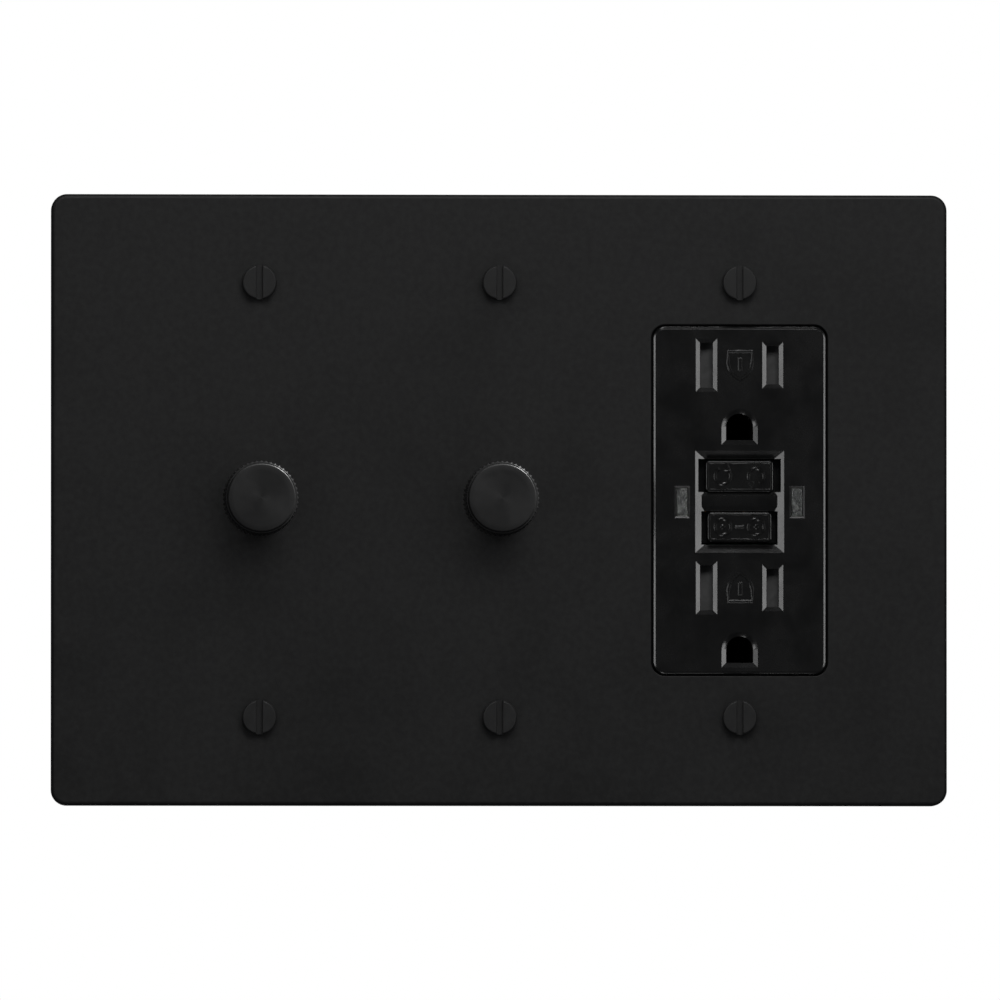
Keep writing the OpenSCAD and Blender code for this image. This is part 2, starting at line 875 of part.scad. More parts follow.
module housing_screws() {
    color("silver") gang(right_x) corners(housing_post) difference() {
        union() {
            rod(body_d, 1.5, 1.9);
            rod(body_d - 1.5, body_d - 1.5 + 2.0, 1.15);
        }
        for (turn = [0, 90]) rotate([0, turn, 0])
            translate([0, body_d, 0]) cube([0.6, 1.4, 2.4], center = true);
    }
}

wall_plate();
plate_screws();
gang(left_x) knob();  // left_knob
gang(left_x) grub_screw();  // left_grub_screw
gang(left_x) shaft();  // left_shaft
gang(left_x) bushing_housing();  // left_bushing_housing
gang(left_x) rotor();  // left_rotor
gang(left_x) wiper();  // left_wiper
gang(left_x) dimmer_yoke();  // left_yoke
gang(left_x) rear_case();  // left_rear_case
gang(left_x) dimmer_board();  // left_circuit_board
gang(left_x) choke();  // left_choke
gang(left_x) triac();  // left_triac
gang(left_x) switch_plunger();  // left_switch_plunger
gang(left_x) plunger_spring();  // left_plunger_spring
gang(left_x) push_switch();  // left_push_switch
gang(middle_x) knob();  // middle_knob
gang(middle_x) grub_screw();  // middle_grub_screw
gang(middle_x) shaft();  // middle_shaft
gang(middle_x) bushing_housing();  // middle_bushing_housing
gang(middle_x) rotor();  // middle_rotor
gang(middle_x) wiper();  // middle_wiper
gang(middle_x) dimmer_yoke();  // middle_yoke
gang(middle_x) rear_case();  // middle_rear_case
gang(middle_x) dimmer_board();  // middle_circuit_board
gang(middle_x) choke();  // middle_choke
gang(middle_x) triac();  // middle_triac
gang(middle_x) switch_plunger();  // middle_switch_plunger
gang(middle_x) plunger_spring();  // middle_plunger_spring
gang(middle_x) push_switch();  // middle_push_switch
bushing_nuts();
bushing_washers();
dimmer_case_screws();
brass_terminal_screws();
terminal_clamps();
ground_screws();
receptacle_face();
receptacle_yoke();
receptacle_frame();
receptacle_body();
ground_contacts();
hot_contact();
neutral_contact();
reset_button();
reset_spring();
latch_pin();
contact_lifter();
test_button();
test_contact_spring();
light_lenses();
upper_shutter();
lower_shutter();
upper_shutter_spring();
lower_shutter_spring();
sense_board();
sense_transformer();
solenoid_coil();
solenoid_plunger();
silver_terminal_screws();
housing_screws();
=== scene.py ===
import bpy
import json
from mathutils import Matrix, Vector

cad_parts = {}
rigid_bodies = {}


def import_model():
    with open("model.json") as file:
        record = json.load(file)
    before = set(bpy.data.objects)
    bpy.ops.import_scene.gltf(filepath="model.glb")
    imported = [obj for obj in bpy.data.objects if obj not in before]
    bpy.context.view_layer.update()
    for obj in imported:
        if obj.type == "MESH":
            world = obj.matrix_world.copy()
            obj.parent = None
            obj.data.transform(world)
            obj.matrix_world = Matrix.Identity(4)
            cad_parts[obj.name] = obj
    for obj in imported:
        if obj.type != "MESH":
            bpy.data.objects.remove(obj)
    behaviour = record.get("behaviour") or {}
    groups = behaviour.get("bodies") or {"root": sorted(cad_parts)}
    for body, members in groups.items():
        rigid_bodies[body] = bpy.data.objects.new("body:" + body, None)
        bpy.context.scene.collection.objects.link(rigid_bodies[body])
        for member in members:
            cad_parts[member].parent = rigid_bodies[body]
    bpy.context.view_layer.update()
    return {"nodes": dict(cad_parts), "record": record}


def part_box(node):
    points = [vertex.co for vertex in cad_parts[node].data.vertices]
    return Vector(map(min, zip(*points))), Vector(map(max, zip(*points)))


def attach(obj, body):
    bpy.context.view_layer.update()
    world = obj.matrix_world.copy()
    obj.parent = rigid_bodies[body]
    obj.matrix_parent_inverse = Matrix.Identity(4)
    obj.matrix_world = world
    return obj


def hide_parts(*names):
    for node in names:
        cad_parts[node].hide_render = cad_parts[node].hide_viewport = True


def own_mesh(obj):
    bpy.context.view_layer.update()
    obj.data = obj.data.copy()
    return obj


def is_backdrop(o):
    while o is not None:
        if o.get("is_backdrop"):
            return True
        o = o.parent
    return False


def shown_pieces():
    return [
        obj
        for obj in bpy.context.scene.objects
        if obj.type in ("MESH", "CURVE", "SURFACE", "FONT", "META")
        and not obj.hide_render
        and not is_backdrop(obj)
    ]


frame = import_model()

import json
from math import atan2, cos, hypot, pi, radians, sin, sqrt

import bmesh
import bpy
from mathutils import Vector

MM = 0.001
scene = bpy.context.scene


# ---- places, in mm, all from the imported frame

def box(node):
    return tuple([v / MM for v in corner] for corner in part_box(node))


def centre(node):
    lo, hi = box(node)
    return [(a + b) / 2 for a, b in zip(lo, hi)]


PLATE_LO, PLATE_HI = box("wall_plate")
PLATE_W = PLATE_HI[0] - PLATE_LO[0]
PLATE_H = PLATE_HI[2] - PLATE_LO[2]
PLATE_Y = PLATE_LO[1]
LEFT_X = centre("left_knob")[0]
MIDDLE_X = centre("middle_knob")[0]
RIGHT_X = centre("receptacle_face")[0]
SCREW_R = 3.3
SCREW_Z = box("plate_screws")[1][2] - SCREW_R
UPPER_Z = centre("upper_shutter")[2]
LOWER_Z = centre("lower_shutter")[2]
FACE_Y = box("receptacle_face")[0][1]


# ---- outlines in X and Z, counter-clockwise as seen from the front

def arc(cx, cz, r, start, end, steps):
    turn = [radians(start + (end - start) * i / steps) for i in range(steps + 1)]
    return [(cx + r * cos(a), cz + r * sin(a)) for a in turn]


def rounded(w, h, r, steps=6, cx=0.0, cz=0.0):
    points = []
    for k, (sx, sz) in enumerate([(1, -1), (1, 1), (-1, 1), (-1, -1)]):
        x, z = cx + sx * (w / 2 - r), cz + sz * (h / 2 - r)
        points += arc(x, z, r, -90 + 90 * k, 90 * k, steps)
    return points


def circle(r, n=48, cx=0.0, cz=0.0):
    return arc(cx, cz, r, 0, 360 - 360 / n, n - 1)


def rectangle(x0, x1, z0, z1):
    return [(x0, z0), (x1, z0), (x1, z1), (x0, z1)]


def arch(r, flat, steps=24):
    return [(-r, -flat), (r, -flat)] + arc(0, 0, r, 0, 180, steps)


def moved(points, dx, dz):
    return [(x + dx, z + dz) for x, z in points]


def inset(points, by):
    """The outline drawn in by a distance, or by one distance for each edge."""
    n = len(points)
    by = by if isinstance(by, list) else [by] * n
    made = []
    for i in range(n):
        (ax, az), (bx, bz), (cx, cz) = points[i - 1], points[i], points[(i + 1) % n]
        d1, d2 = by[i - 1], by[i]
        l1, l2 = hypot(bx - ax, bz - az), hypot(cx - bx, cz - bz)
        n1 = ((az - bz) / l1, (bx - ax) / l1)
        n2 = ((bz - cz) / l2, (cx - bx) / l2)
        det = n1[0] * n2[1] - n1[1] * n2[0]
        if abs(det) < 1e-5:
            made.append((bx + n1[0] * d1, bz + n1[1] * d1))
        else:
            dx = (d1 * n2[1] - d2 * n1[1]) / det
            dz = (d2 * n1[0] - d1 * n2[0]) / det
            made.append((bx + dx, bz + dz))
    return made


def front_edge(y_front, r, steps=4):
    """Insets and depths of a rounded edge, from the side to the front."""
    turn = [pi / 2 * i / steps for i in range(steps + 1)]
    return [(r * (1 - cos(a)), y_front + r * (1 - sin(a))) for a in turn]


def back_edge(y_back, r, steps=2):
    turn = [pi / 2 * i / steps for i in range(steps, -1, -1)]
    return [(r * (1 - cos(a)), y_back - r * (1 - sin(a))) for a in turn]


# ---- meshes

def loft(rings):
    """A closed solid through outlines of equal length, each given with its depth."""
    mesh = bmesh.new()
    rows = [[mesh.verts.new((x * MM, y * MM, z * MM)) for x, z in points] for points, y in rings]
    n = len(rows[0])
    for a, b in zip(rows, rows[1:]):
        for i in range(n):
            j = (i + 1) % n
            mesh.faces.new((a[i], a[j], b[j], b[i]))
    mesh.faces.new(rows[0])
    mesh.faces.new(rows[-1])
    bmesh.ops.recalc_face_normals(mesh, faces=mesh.faces)
    return mesh


def block(points, y_back, y_front, front_r=0.0, back_r=0.0, steps=4):
    profile = back_edge(y_back, back_r) if back_r else [(0, y_back)]
    profile += front_edge(y_front, front_r, steps) if front_r else [(0, y_front)]
    return loft([(inset(points, d) if d else points, y) for d, y in profile])


def as_object(mesh, name="part"):
    data = bpy.data.meshes.new(name)
    mesh.to_mesh(data)
    mesh.free()
    made = bpy.data.objects.new(name, data)
    scene.collection.objects.link(made)
    return made


def combined(base, tools, how):
    """The base after a boolean with each tool in turn; the tools are used up."""
    base = base if isinstance(base, bpy.types.Object) else as_object(base)
    for tool in tools:
        other = tool if isinstance(tool, bpy.types.Object) else as_object(tool)
        step = base.modifiers.new("step", "BOOLEAN")
        step.operation, step.solver, step.object = how, "MANIFOLD", other
        graph = bpy.context.evaluated_depsgraph_get()
        data = bpy.data.meshes.new_from_object(base.evaluated_get(graph))
        base.modifiers.clear()
        old, base.data = base.data, data
        bpy.data.meshes.remove(old)
        data = other.data
        bpy.data.objects.remove(other)
        bpy.data.meshes.remove(data)
    return base


def taken(base, tools):
    return combined(base, tools, "DIFFERENCE")


def joined(base, tools):
    return combined(base, tools, "UNION")


# Points closer than this, in metres, are one, and faces that turn less than this are one.
SAME_POINT = 2e-6
FLAT_ANGLE = 0.4


def softened(mesh, width, steps=2, angle=32, clean=True):
    """Merges flat neighbours and rounds the sharp edges of a mesh."""
    bmesh.ops.remove_doubles(mesh, verts=mesh.verts, dist=SAME_POINT)
    if clean:
        bmesh.ops.dissolve_limit(
            mesh, angle_limit=radians(FLAT_ANGLE), verts=mesh.verts, edges=mesh.edges
        )
    if width:
        sharp = [
            e for e in mesh.edges
            if len(e.link_faces) == 2 and e.calc_face_angle(0) > radians(angle)
        ]
        bmesh.ops.bevel(
            mesh, geom=sharp, offset=width * MM, offset_type="OFFSET", segments=steps,
            profile=0.5, affect="EDGES", clamp_overlap=True, loop_slide=True,
        )
    bmesh.ops.recalc_face_normals(mesh, faces=mesh.faces)


def shaded(piece, sharp=42):
    data = piece.data
    data.shade_smooth()
    data.set_sharp_from_angle(angle=radians(sharp))
    even = piece.modifiers.new("even_normals", "WEIGHTED_NORMAL")
    even.keep_sharp, even.weight = True, 80


def placed(piece, name, body, node, slot, sharp=42, finish=None):
    """Names a finished piece, gives it its material and puts it on its body."""
    piece.name = piece.data.name = name
    piece.data.materials.clear()
    piece.data.materials.append(MATERIALS[finish or slot])
    shaded(piece, sharp)
    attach(piece, body)
    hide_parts(node)
    return piece


def soften_object(piece, width, steps=2, angle=32):
    mesh = bmesh.new()
    mesh.from_mesh(piece.data)
    softened(mesh, width, steps, angle)
    mesh.to_mesh(piece.data)
    mesh.free()
    return piece


def shifted(mesh, dx, dz):
    bmesh.ops.translate(mesh, vec=(dx * MM, 0, dz * MM), verts=mesh.verts)
    return mesh


# ---- materials

SPECULAR = 0.5


class Nodes:
    """A small helper that adds nodes to one material."""

    def __init__(self, name):
        self.material = bpy.data.materials.new(name)
        self.material.use_nodes = True
        self.tree = self.material.node_tree
        self.shader = self.tree.nodes["Principled BSDF"]
        where = self.add("ShaderNodeTexCoord")
        scale = self.add("ShaderNodeVectorMath", operation="SCALE")
        scale.inputs["Scale"].default_value = 1 / MM
        self.link(where.outputs["Object"], scale.inputs[0])
        self.mm = scale.outputs[0]

    def add(self, kind, **settings):
        node = self.tree.nodes.new(kind)
        for key, value in settings.items():
            setattr(node, key, value)
        return node

    def link(self, a, b):
        self.tree.links.new(a, b)

    def noise(self, scale, detail=2.0, rough=0.5, stretch=None, distortion=0.0):
        node = self.add("ShaderNodeTexNoise")
        node.inputs["Scale"].default_value = scale
        node.inputs["Detail"].default_value = detail
        node.inputs["Roughness"].default_value = rough
        node.inputs["Distortion"].default_value = distortion
        where = self.mm
        if stretch:
            turn = self.add("ShaderNodeMapping")
            turn.inputs["Scale"].default_value = stretch
            self.link(self.mm, turn.inputs["Vector"])
            where = turn.outputs[0]
        self.link(where, node.inputs["Vector"])
        return node.outputs["Fac"]

    def remap(self, value, lo, hi, from_lo=0.3, from_hi=0.7):
        node = self.add("ShaderNodeMapRange")
        for key, number in zip(
            ("From Min", "From Max", "To Min", "To Max"), (from_lo, from_hi, lo, hi)
        ):
            node.inputs[key].default_value = number
        self.link(value, node.inputs["Value"])
        return node.outputs[0]

    def sum(self, a, b, how="ADD"):
        node = self.add("ShaderNodeMath", operation=how)
        for socket, value in zip(node.inputs, (a, b)):
            if isinstance(value, (int, float)):
                socket.default_value = value
            else:
                self.link(value, socket)
        return node.outputs[0]

    def tint(self, value, dark, light):
        node = self.add("ShaderNodeMix", data_type="RGBA")
        node.inputs["A"].default_value = (*dark, 1)
        node.inputs["B"].default_value = (*light, 1)
        self.link(value, node.inputs["Factor"])
        return node.outputs["Result"]

    def bump(self, height, strength, depth, under=None):
        node = self.add("ShaderNodeBump")
        node.inputs["Strength"].default_value = strength
        node.inputs["Distance"].default_value = depth * MM
        self.link(height, node.inputs["Height"])
        if under:
            self.link(under, node.inputs["Normal"])
        return node.outputs[0]

    def set(self, **values):
        for key, value in values.items():
            socket = self.shader.inputs[key.replace("_", " ")]
            if isinstance(value, bpy.types.NodeSocket):
                self.link(value, socket)
            elif isinstance(value, tuple):
                socket.default_value = (*value, 1)
            else:
                socket.default_value = value


def grey(v):
    return (v, v, v)


def coated(name, level, rough, cloud=0.1, cloud_size=28.0, grain_size=0.35, grain=0.012,
           spread=0.06):
    """Black powder coat: slow clouds of tone and gloss over a fine grain."""
    n = Nodes(name)
    clouds = n.noise(1 / cloud_size, 5.0, 0.6, distortion=0.6)
    fine = n.noise(1 / grain_size, 2.0, 0.6)
    specks = n.noise(1 / (grain_size * 3.4), 3.0, 0.55)
    tone = n.sum(n.sum(clouds, 0.4, "MULTIPLY"), n.sum(specks, 0.6, "MULTIPLY"))
    tone = n.remap(tone, 0, 1, 0.38, 0.62)
    n.set(
        Base_Color=n.tint(tone, grey(level * (1 - cloud)), grey(level * (1 + cloud))),
        Roughness=n.remap(clouds, rough - spread, rough + spread),
        Normal=n.bump(fine, 0.6, grain, n.bump(specks, 0.5, grain * 2)),
        Specular_IOR_Level=SPECULAR,
    )
    return n.material


def moulded(name, dark, light, rough, spread=0.06, swirl_size=6.0, grain_size=0.25,
            grain=0.006, swirl_depth=0.02, swirl=2.2):
    """Moulded plastic: faint flow marks, a fine spark texture and uneven gloss."""
    n = Nodes(name)
    flow = n.noise(1 / swirl_size, 4.0, 0.55, distortion=swirl)
    fine = n.noise(1 / grain_size, 3.0, 0.6)
    n.set(
        Base_Color=n.tint(n.remap(flow, 0, 1), dark, light),
        Roughness=n.remap(n.sum(n.sum(flow, 0.7, "MULTIPLY"), n.sum(fine, 0.3, "MULTIPLY")),
                          rough - spread, rough + spread, 0.38, 0.62),
        Normal=n.bump(fine, 0.5, grain, n.bump(flow, 0.4, swirl_depth)),
        Specular_IOR_Level=SPECULAR,
    )
    return n.material


def metal(name, dark, light, rough, spread=0.08, grain=0.004, stretch=(6, 1, 6), scale=0.9,
          metallic=1.0):
    """Drawn or stamped metal: streaks along Y, stains and fine scratches."""
    n = Nodes(name)
    streaks = n.noise(scale, 4.0, 0.65, stretch=stretch)
    stains = n.noise(0.16, 4.0, 0.6, distortion=1.0)
    n.set(
        Base_Color=n.tint(n.remap(n.sum(n.sum(streaks, 0.4, "MULTIPLY"),
                                        n.sum(stains, 0.6, "MULTIPLY")), 0, 1, 0.36, 0.64),
                          dark, light),
        Metallic=metallic,
        Roughness=n.remap(streaks, rough - spread, rough + spread),
        Normal=n.bump(streaks, 0.4, grain),
    )
    return n.material


def turned(name, level, rough):
    """Black turned metal: fine rings round the axis, with an uneven satin coat."""
    n = Nodes(name)
    split = n.add("ShaderNodeSeparateXYZ")
    n.link(n.mm, split.inputs[0])
    nearer = n.add("ShaderNodeMath", operation="PINGPONG")
    nearer.inputs[1].default_value = abs(LEFT_X) / 2
    n.link(split.outputs["X"], nearer.inputs[0])
    far = n.add("ShaderNodeMath", operation="WRAP")
    far.inputs[1].default_value = LEFT_X / 2 + (MIDDLE_X - LEFT_X)
    far.inputs[2].default_value = LEFT_X / 2
    n.link(split.outputs["X"], far.inputs[0])
    across = n.sum(far.outputs[0], far.outputs[0], "MULTIPLY")
    up = n.sum(split.outputs["Z"], split.outputs["Z"], "MULTIPLY")
    radius = n.sum(n.sum(across, up), 0.5, "POWER")
    rings = n.add("ShaderNodeTexNoise", noise_dimensions="1D")
    rings.inputs["Scale"].default_value = 7.0
    rings.inputs["Detail"].default_value = 3.0
    n.link(radius, rings.inputs["W"])
    clouds = n.noise(0.35, 4.0, 0.6, distortion=0.8)
    fine = n.noise(2.8, 2.0, 0.6)
    tone = n.sum(n.sum(rings.outputs[0], 0.5, "MULTIPLY"), n.sum(clouds, 0.5, "MULTIPLY"))
    n.set(
        Base_Color=n.tint(n.remap(tone, 0, 1, 0.4, 0.6), grey(level * 0.93), grey(level * 1.07)),
        Roughness=n.remap(tone, rough - 0.03, rough + 0.03, 0.4, 0.6),
        Normal=n.bump(rings.outputs[0], 0.35, 0.005, n.bump(fine, 0.4, 0.006)),
        Specular_IOR_Level=SPECULAR,
        Anisotropic=0.45,
    )
    tangent = n.add("ShaderNodeTangent", direction_type="RADIAL", axis="Y")
    n.link(tangent.outputs[0], n.shader.inputs["Tangent"])
    return n.material


def clear_lens(name):
    """Clear moulded plastic with faint waves and streaks."""
    n = Nodes(name)
    waves = n.noise(0.9, 2.0, 0.5, stretch=(2.2, 1, 0.7))
    streaks = n.noise(0.8, 3.0, 0.6, stretch=(1.6, 1, 1.0), distortion=1.4)
    n.set(
        Base_Color=n.tint(
            n.remap(streaks, 0, 1, 0.38, 0.62), (0.16, 0.17, 0.17), (0.9, 0.92, 0.92)
        ),
        Roughness=n.remap(waves, 0.04, 0.14),
        Normal=n.bump(waves, 0.9, 0.2),
        Transmission_Weight=0.86,
        IOR=1.49,
    )
    return n.material


def winding(name):
    """Enamelled copper wire wound in turns."""
    n = Nodes(name)
    wave = n.add("ShaderNodeTexWave", wave_type="BANDS", bands_direction="X")
    wave.inputs["Scale"].default_value = 0.9
    wave.inputs["Distortion"].default_value = 0.6
    n.link(n.mm, wave.inputs["Vector"])
    tone = n.noise(0.5, 3.0)
    n.set(
        Base_Color=n.tint(n.remap(tone, 0, 1), (0.34, 0.12, 0.04), (0.56, 0.24, 0.09)),
        Metallic=0.9,
        Roughness=n.remap(tone, 0.24, 0.4),
        Normal=n.bump(wave.outputs["Fac"], 0.8, 0.08),
    )
    return n.material


MATERIALS = {
    "plate_black": coated("plate_black", 0.0165, 0.55, cloud=0.3, spread=0.1),
    "screw_black": coated("screw_black", 0.027, 0.48, cloud=0.12, cloud_size=3.0,
                          grain_size=0.25, grain=0.006),
    "knob_black": turned("knob_black", 0.020, 0.32),
    "face_black": moulded("face_black", grey(0.0050), grey(0.0086), 0.25,
                          swirl_size=7.0, swirl_depth=0.004, spread=0.03, swirl=0.4,
                          grain=0.0035, grain_size=0.3),
    "button_black": moulded("button_black", grey(0.0045), grey(0.0068), 0.25,
                            swirl_size=5.0, swirl_depth=0.004, spread=0.03, swirl=0.4,
                            grain=0.0035, grain_size=0.3),
    "shutter_grey": moulded("shutter_grey", grey(0.15), grey(0.2), 0.4, swirl_size=4.0),
    "lens_clear": clear_lens("lens_clear"),
    "case_black": moulded("case_black", grey(0.018), grey(0.023), 0.5, swirl_size=9.0,
                          grain=0.012, spread=0.03, swirl=0.5),
    "nylon_white": moulded("nylon_white", (0.70, 0.68, 0.62), (0.80, 0.78, 0.72), 0.45,
                           swirl_size=8.0),
    "zinc_steel": metal("zinc_steel", (0.50, 0.51, 0.53), (0.68, 0.69, 0.70), 0.36),
    "nickel_steel": metal("nickel_steel", (0.56, 0.54, 0.50), (0.74, 0.71, 0.66), 0.28),
    "yoke_aluminium": metal("yoke_aluminium", (0.62, 0.63, 0.64), (0.78, 0.79, 0.80), 0.42,
                            stretch=(1, 1, 8), scale=0.7),
    "brass": metal("brass", (0.68, 0.48, 0.20), (0.76, 0.56, 0.25), 0.3, spread=0.05),
    # Brass of the ground contacts made near black: painted shade of the ground hole they sit deep
    # in, not the metal's own colour.
    "dull_brass": metal("dull_brass", (0.030, 0.022, 0.012), (0.055, 0.042, 0.024), 0.6,
                        metallic=0.5),
    "bronze_spring": metal("bronze_spring", (0.58, 0.34, 0.16), (0.74, 0.48, 0.26), 0.32),
    "green_screw": metal("green_screw", (0.02, 0.18, 0.06), (0.05, 0.32, 0.12), 0.34,
                         metallic=0.6),
    "board_green": moulded("board_green", (0.008, 0.085, 0.03), (0.014, 0.13, 0.05), 0.38,
                           swirl_size=3.0),
    "copper_winding": winding("copper_winding"),
    "ferrite": moulded("ferrite", grey(0.035), grey(0.06), 0.6, grain=0.03),
    "package_black": moulded("package_black", grey(0.02), grey(0.034), 0.5, grain=0.02),
}


# ---- wall plate

PLATE_CORNER, PLATE_ROUND, PLATE_BACK_ROUND = 3.0, 0.85, 0.25
PLATE_SKIN, PLATE_RIM = 2.5, 2.5
BOSS_BACK, BOSS_ROUND, SUNK = -1.5, 0.3, 0.5
SCREW_BOSS_R, BUSHING_BOSS_R = 4.5, 7.5
SCREW_HOLE_R, BUSHING_HOLE_R = 2.0, 3.8
RIB_HALF, RIB_END, RIB_BACK, RIB_ROUND = 0.6, 4, BOSS_BACK - 0.2, 0.15
OPENING_W, OPENING_H, OPENING_CORNER, OPENING_LIP = 33.8, 67.3, 2.6, 0.22


def wall_plate():
    outline = rounded(PLATE_W, PLATE_H, PLATE_CORNER, 12)
    profile = back_edge(0, PLATE_BACK_ROUND, 3) + front_edge(PLATE_Y, PLATE_ROUND, 8)
    shell = loft([(inset(outline, d), y) for d, y in profile])
    skin_y = PLATE_Y + PLATE_SKIN
    room = rounded(PLATE_W - 2 * PLATE_RIM, PLATE_H - 2 * PLATE_RIM, 1.5)
    cavity = block(room, 1, skin_y)
    screws_at = [(x, sz * SCREW_Z) for x in (LEFT_X, MIDDLE_X, RIGHT_X) for sz in (-1, 1)]
    bosses = [
        block(circle(SCREW_BOSS_R, 36, x, z), BOSS_BACK, skin_y - SUNK, back_r=BOSS_ROUND)
        for x, z in screws_at
    ]
    bosses += [
        block(circle(BUSHING_BOSS_R, 48, x, 0), BOSS_BACK, skin_y - SUNK, back_r=BOSS_ROUND)
        for x in (LEFT_X, MIDDLE_X)
    ]
    rib_z = PLATE_H / 2 - RIB_END
    ribs = [
        block(rectangle(x - RIB_HALF, x + RIB_HALF, -rib_z, rib_z), RIB_BACK, skin_y - SUNK,
              back_r=RIB_ROUND)
        for x in ((LEFT_X + MIDDLE_X) / 2, (MIDDLE_X + RIGHT_X) / 2)
    ]
    shell = taken(shell, [cavity])
    shell = joined(shell, bosses + ribs)
    holes = [block(circle(SCREW_HOLE_R, 32, x, z), 1, PLATE_Y - 1) for x, z in screws_at]
    holes += [
        block(circle(BUSHING_HOLE_R, 40, x, 0), 1, PLATE_Y - 1) for x in (LEFT_X, MIDDLE_X)
    ]
    lip = OPENING_LIP
    opening = rounded(OPENING_W, OPENING_H, OPENING_CORNER, 10, RIGHT_X, 0)
    rings = [(opening, 1.0), (opening, PLATE_Y + lip)]
    rings += [
        (inset(opening, -lip * (1 - cos(a))), PLATE_Y + lip - lip * sin(a))
        for a in (radians(22.5), radians(45), radians(67.5), radians(90))
    ]
    rings += [(rings[-1][0], PLATE_Y - 1)]
    shell = taken(shell, holes + [loft(rings)])
    soften_object(shell, 0)
    return placed(shell, "wall_plate_shell", "root", "wall_plate", "plate_black", 50)


wall_plate()


# ---- fixing screws

SLOT_HALF, SLOT_DEPTH, HEAD_BEVEL = 0.6, 0.9, 0.38
NECK_R, THREAD_R, NECK_END = 1.45, 1.75, 1.0


def screw_head(y_back, y_front, slot_half, slot_depth, bevel):
    """A round head whose driver slot runs out at both sides."""
    steps, floor_y = 26, y_front + slot_depth
    half_turn = atan2(sqrt(SCREW_R ** 2 - slot_half ** 2), slot_half) * 180 / pi
    right = arc(0, 0, SCREW_R, -half_turn, half_turn, steps)
    left = [(-x, -z) for x, z in right]
    top = arc(0, 0, SCREW_R, half_turn, 180 - half_turn, 4)[1:-1]
    bottom = [(-x, -z) for x, z in top]
    mesh = bmesh.new()

    def row(points, y):
        return [mesh.verts.new((x * MM, y * MM, z * MM)) for x, z in points]

    def strip(a, b, closed):
        n = len(a)
        for i in range(n if closed else n - 1):
            j = (i + 1) % n
            mesh.faces.new((a[i], a[j], b[j], b[i]))

    around = right + top + left + bottom
    base = [row(inset(around, d), y) for d, y in back_edge(y_back, 0.12)]
    base.append(row(around, floor_y))
    for a, b in zip(base, base[1:]):
        strip(a, b, True)
    mesh.faces.new(base[0])
    count = len(right)
    full = base[-1]
    lands = [full[:count], full[count + len(top):2 * count + len(top)]]
    for land, points in zip(lands, (right, left)):
        last = land
        for a in (0, 22.5, 45, 67.5, 90):
            drop = 1 - cos(radians(a))
            by = [bevel * drop] * (count - 1) + [0.1 * drop]
            fresh = row(inset(points, by), y_front + bevel * (1 - sin(radians(a))))
            strip(last, fresh, True)
            last = fresh
        mesh.faces.new(last)
    floor = full[count - 1:count + len(top) + 1]
    floor += full[2 * count + len(top) - 1:] + full[:1]
    mesh.faces.new(floor)
    bmesh.ops.recalc_face_normals(mesh, faces=mesh.faces)
    return mesh


def threaded(y_start, neck_end, y_end, neck_r, outer_r, pitch=0.8, around=20, per_turn=6):
    """A relieved neck that runs into a screw thread with a tapered end."""
    rings = [(circle(neck_r, around), y_start), (circle(neck_r, around), neck_end)]
    rows = int((y_end - neck_end) / pitch * per_turn)
    for i in range(1, rows + 1):
        y = neck_end + (y_end - neck_end) * i / rows
        limit = min(outer_r, neck_r + max(0.0, y - neck_end) * 0.6,
                    outer_r - 0.75 + max(0.0, y_end - y) * 0.9)
        points = []
        for k in range(around):
            phase = (y / pitch - k / around) % 1.0
            ridge = max(0.0, 1 - abs(2 * phase - 1) * 1.25)
            r = min(limit, neck_r + (outer_r - neck_r) * min(1.0, ridge * 1.3))
            a = 2 * pi * k / around
            points.append((r * cos(a), r * sin(a)))
        rings.append((points, y))
    return loft(rings)


def plate_screws():
    lo, hi = box("plate_screws")
    screws = None
    for x in (LEFT_X, MIDDLE_X, RIGHT_X):
        for sz in (-1, 1):
            z = sz * SCREW_Z
            head = screw_head(PLATE_Y, lo[1], SLOT_HALF, SLOT_DEPTH, HEAD_BEVEL)
            shank = threaded(PLATE_Y - 0.3, NECK_END, hi[1], NECK_R, THREAD_R)
            head = joined(as_object(shifted(head, x, z)), [shifted(shank, x, z)])
            mesh = bmesh.new()
            if screws:
                mesh.from_mesh(screws.data)
            mesh.from_mesh(head.data)
            if screws:
                bpy.data.objects.remove(screws)
            mesh.to_mesh(head.data)
            mesh.free()
            screws = head
    return placed(screws, "slotted_plate_screws", "root", "plate_screws", "screw_black", 48)


plate_screws()


# ---- knobs

KNURL = 48
KNOB_BORE_R, HOLLOW_R, HOLLOW_MOUTH_R = 3.02, 6.1, 6.25
BORE_END, HOLLOW_DEPTH = 1.6, 4.0
GRUB_HOLE_R, GRUB_HOLE_LENGTH, GRUB_HOLE_Z = 1.52, 5.6, -5.4
# One tooth of the knurl, as shares of its pitch and of its height.
TOOTH = [(0.0, 0.0), (0.1, 0.12), (0.41, 0.9), (0.5, 1.0), (0.59, 0.9), (0.9, 0.12)]


